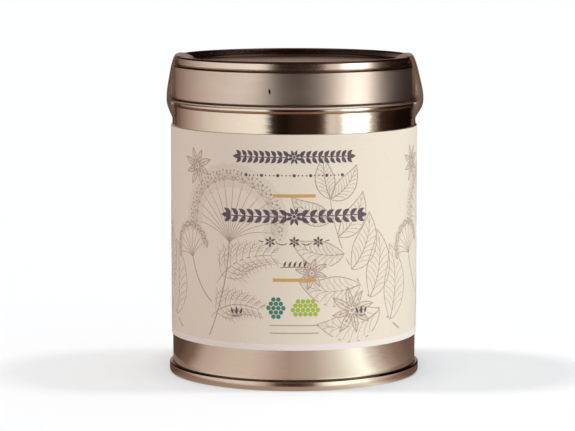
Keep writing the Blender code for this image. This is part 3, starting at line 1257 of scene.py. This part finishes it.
def stage_disc(name, radius, height, material):
    """A flat disc under the tin."""
    mesh = bpy.data.meshes.new(name)
    edit = bmesh.new()
    bmesh.ops.create_circle(edit, cap_ends=True, segments=DISC_STEPS, radius=radius * MM)
    bmesh.ops.translate(edit, verts=edit.verts, vec=(0, 0, height * MM))
    edit.to_mesh(mesh)
    edit.free()
    mesh.materials.append(material)
    disc = bpy.data.objects.new(name, mesh)
    bpy.context.scene.collection.objects.link(disc)
    return disc


def add_floor(colour):
    """Pale matt floor, through which metal sees the studio, as past the edge of a small table."""
    material, tree, shader = new_material("matt_floor")
    shader.inputs["Base Color"].default_value = (*colour, 1.0)
    shader.inputs["Roughness"].default_value = 0.9
    shader.inputs["Specular IOR Level"].default_value = 0.0
    floor = stage_disc("floor", FLOOR_R, 0, material)
    floor.visible_glossy = False


# Inner and outer radius in mm of the ring of table that the seam's upper part mirrors
FOOT_RING_FROM = 40.2
FOOT_RING_TO = 47.2
FOOT_RING_EDGE = 1.2


def add_table_sheen():
    """A glowing disc that only the metal sees, as a painted reflection of the table top: right at the
    foot, in the ring outside that, and beyond.
    """
    material = bpy.data.materials.new("table_sheen")
    material.use_nodes = True
    tree = material.node_tree
    tree.nodes.clear()
    place = add_node(tree, "ShaderNodeTexCoord")
    radial = add_node(
        tree, "ShaderNodeTexGradient", None, {"Vector": place.outputs["Object"]}, gradient_type="RADIAL"
    )
    reach = add_node(
        tree, "ShaderNodeVectorMath", None, {0: place.outputs["Object"]}, operation="LENGTH"
    )
    near, ring, far = (
        add_node(
            tree,
            "ShaderNodeValToRGB",
            None,
            {"Fac": radial.outputs["Fac"]},
            light_stops(lights),
        ).outputs["Color"]
        for lights in (NEAR_LIGHT, FOOT_LIGHT, TABLE_LIGHT)
    )
    table = near
    for edge_r, beyond in ((FOOT_RING_FROM, ring), (FOOT_RING_TO, far)):
        outside = add_node(
            tree,
            "ShaderNodeMapRange",
            {"From Min": edge_r * MM, "From Max": (edge_r + FOOT_RING_EDGE) * MM},
            {"Value": reach.outputs["Value"]},
        )
        table = add_node(
            tree,
            "ShaderNodeMix",
            None,
            {MIX_FACTOR: outside.outputs["Result"], MIX_A: table, MIX_B: beyond},
            data_type="RGBA",
        ).outputs[MIX_RESULT]
    glow = add_node(tree, "ShaderNodeEmission", {"Strength": PEAK_LIGHT}, {"Color": table})
    add_node(tree, "ShaderNodeOutputMaterial", None, {"Surface": glow.outputs["Emission"]})
    sheen = stage_disc("table_sheen", SHEEN_R, SHEEN_Z, material)
    sheen.visible_camera = False
    sheen.visible_diffuse = False
    sheen.visible_shadow = False
    sheen.visible_transmission = False


# Direction of the patch behind the tin, and the cosines at which it starts and is full
BACK_TILT_DEG = 10
BACK_TOWARDS = (0.0, math.cos(math.radians(BACK_TILT_DEG)), math.sin(math.radians(BACK_TILT_DEG)))
BACK_EDGE = {"From Min": 0.95, "From Max": 0.985}
# Shares of one by which a direction rises, where the panels end and where the ceiling starts
PANELS_END = {"From Min": 0.08, "From Max": 0.2}
CEILING_START = {"From Min": 0.72, "From Max": 0.8}
# Soft light on matt surfaces, from the left and from the right, and the backdrop's brightness
SOFT_LEFT = "a29286"
SOFT_RIGHT = "c2ced3"
SOFT_SPREAD = {"From Min": -0.9, "From Max": 0.9}
BACKDROP_LIGHT = 1.05


def add_studio(scene):
    """World light: white to the camera, soft to matt surfaces, and a dark room to the metal.

    In the room the metal sees panels all round up to the horizon, a soft patch behind the tin,
    which the lid's flat panel mirrors, and a dim ceiling.
    """
    world = bpy.data.worlds.new("studio")
    world.use_nodes = True
    world.cycles.sampling_method = "NONE"
    scene.world = world
    tree = world.node_tree
    tree.nodes.clear()
    towards = add_node(tree, "ShaderNodeTexCoord").outputs["Generated"]
    radial = add_node(
        tree, "ShaderNodeTexGradient", None, {"Vector": towards}, gradient_type="RADIAL"
    )
    panels = add_node(
        tree, "ShaderNodeValToRGB", None, {"Fac": radial.outputs["Fac"]}, light_stops(STUDIO_LIGHT)
    )
    parts = add_node(tree, "ShaderNodeSeparateXYZ", None, {"Vector": towards})
    above = add_node(tree, "ShaderNodeMapRange", PANELS_END, {"Value": parts.outputs["Z"]})
    high = add_node(tree, "ShaderNodeMapRange", CEILING_START, {"Value": parts.outputs["Z"]})
    rightwards = add_node(
        tree, "ShaderNodeMapRange", {"From Min": -1.0, "From Max": 1.0}, {"Value": parts.outputs["X"]}
    )
    ceiling = add_node(
        tree,
        "ShaderNodeValToRGB",
        None,
        {"Fac": rightwards.outputs["Result"]},
        [((right + 1) / 2, lit(light)) for right, light in OVERHEAD_LIGHT],
    )
    behind = add_node(
        tree, "ShaderNodeVectorMath", {1: BACK_TOWARDS}, {0: towards}, operation="DOT_PRODUCT"
    )
    patch = add_node(tree, "ShaderNodeMapRange", BACK_EDGE, {"Value": behind.outputs["Value"]})
    upper = add_node(
        tree,
        "ShaderNodeMix",
        {MIX_A: (*lit(ROOM_LIGHT), 1.0)},
        {MIX_FACTOR: high.outputs["Result"], MIX_B: ceiling.outputs["Color"]},
        data_type="RGBA",
    )
    room = add_node(
        tree,
        "ShaderNodeMix",
        None,
        {
            MIX_FACTOR: above.outputs["Result"],
            MIX_A: panels.outputs["Color"],
            MIX_B: upper.outputs[MIX_RESULT],
        },
        data_type="RGBA",
    )
    with_patch = add_node(
        tree,
        "ShaderNodeMix",
        {MIX_B: (*lit(BACK_LIGHT), 1.0)},
        {MIX_FACTOR: patch.outputs["Result"], MIX_A: room.outputs[MIX_RESULT]},
        data_type="RGBA",
    )
    mirrored = add_node(
        tree,
        "ShaderNodeBackground",
        {"Strength": PEAK_LIGHT},
        {"Color": with_patch.outputs[MIX_RESULT]},
    )
    side = add_node(tree, "ShaderNodeMapRange", SOFT_SPREAD, {"Value": parts.outputs["X"]})
    soft_colour = add_node(
        tree,
        "ShaderNodeMix",
        {MIX_A: (*linear(SOFT_LEFT), 1.0), MIX_B: (*linear(SOFT_RIGHT), 1.0)},
        {MIX_FACTOR: side.outputs["Result"]},
        data_type="RGBA",
    )
    soft = add_node(
        tree, "ShaderNodeBackground", {"Strength": 1.0}, {"Color": soft_colour.outputs[MIX_RESULT]}
    )
    white = add_node(
        tree,
        "ShaderNodeBackground",
        {"Color": (1.0, 1.0, 1.0, 1.0), "Strength": BACKDROP_LIGHT},
    )
    ray = add_node(tree, "ShaderNodeLightPath")
    shown = soft
    for kind_of_ray, background in (("Is Glossy Ray", mirrored), ("Is Camera Ray", white)):
        shown = add_node(
            tree,
            "ShaderNodeMixShader",
            None,
            {0: ray.outputs[kind_of_ray], 1: shown.outputs[0], 2: background.outputs[0]},
        )
    add_node(tree, "ShaderNodeOutputWorld", None, {"Surface": shown.outputs["Shader"]})


def add_sun(name, turn_deg, strength):
    """A soft lamp far away, which lights matt surfaces and leaves no spot in the metal."""
    lamp = bpy.data.lights.new(name, "SUN")
    lamp.energy = strength
    lamp.angle = math.radians(SUN_ANGLE_DEG)
    sun = bpy.data.objects.new(name, lamp)
    sun.rotation_euler = [math.radians(turn) for turn in turn_deg]
    sun.visible_glossy = False
    bpy.context.scene.collection.objects.link(sun)
    return sun


def add_camera(scene):
    """The camera, level across and tilted down a little, as in the photograph."""
    lens = bpy.data.cameras.new("camera")
    lens.lens = CAMERA_LENS
    lens.sensor_width = CAMERA_SENSOR
    camera = bpy.data.objects.new("camera", lens)
    camera.location = [p * MM for p in CAMERA_PLACE]
    camera.rotation_euler = (math.radians(CAMERA_TILT_DEG), 0, 0)
    scene.collection.objects.link(camera)
    scene.camera = camera


OPERATORS = (
    SPICETIN_OT_wall,
    SPICETIN_OT_end,
    SPICETIN_OT_lid,
    SPICETIN_OT_label,
    SPICETIN_OT_print,
    SPICETIN_OT_films,
    SPICETIN_OT_stage,
)


class SPICETIN_PT_panel(bpy.types.Panel):
    """Lists the tin's pieces, sizes and colours"""

    bl_idname = "SPICETIN_PT_panel"
    bl_label = "Spice tin"
    bl_space_type = "VIEW_3D"
    bl_region_type = "UI"
    bl_category = "Spice tin"

    def draw(self, context):
        for operator in OPERATORS:
            self.layout.operator(operator.bl_idname)
        for group in (tin_sizes(), tin_colours()):
            for name in group.__annotations__:
                self.layout.prop(group, name)


CLASSES = (SpiceTinSizes, SpiceTinColours, *OPERATORS, SPICETIN_PT_panel)


def register():
    for cls in CLASSES:
        bpy.utils.register_class(cls)
    bpy.types.Scene.spice_tin_sizes = bpy.props.PointerProperty(type=SpiceTinSizes)
    bpy.types.Scene.spice_tin_colours = bpy.props.PointerProperty(type=SpiceTinColours)


def unregister():
    del bpy.types.Scene.spice_tin_colours
    del bpy.types.Scene.spice_tin_sizes
    for cls in reversed(CLASSES):
        bpy.utils.unregister_class(cls)


def main():
    """Make every piece and the stage."""
    register()
    for operator in OPERATORS:
        group, _, name = operator.bl_idname.partition(".")
        getattr(getattr(bpy.ops, group), name)()


if __name__ == "__main__":
    main()
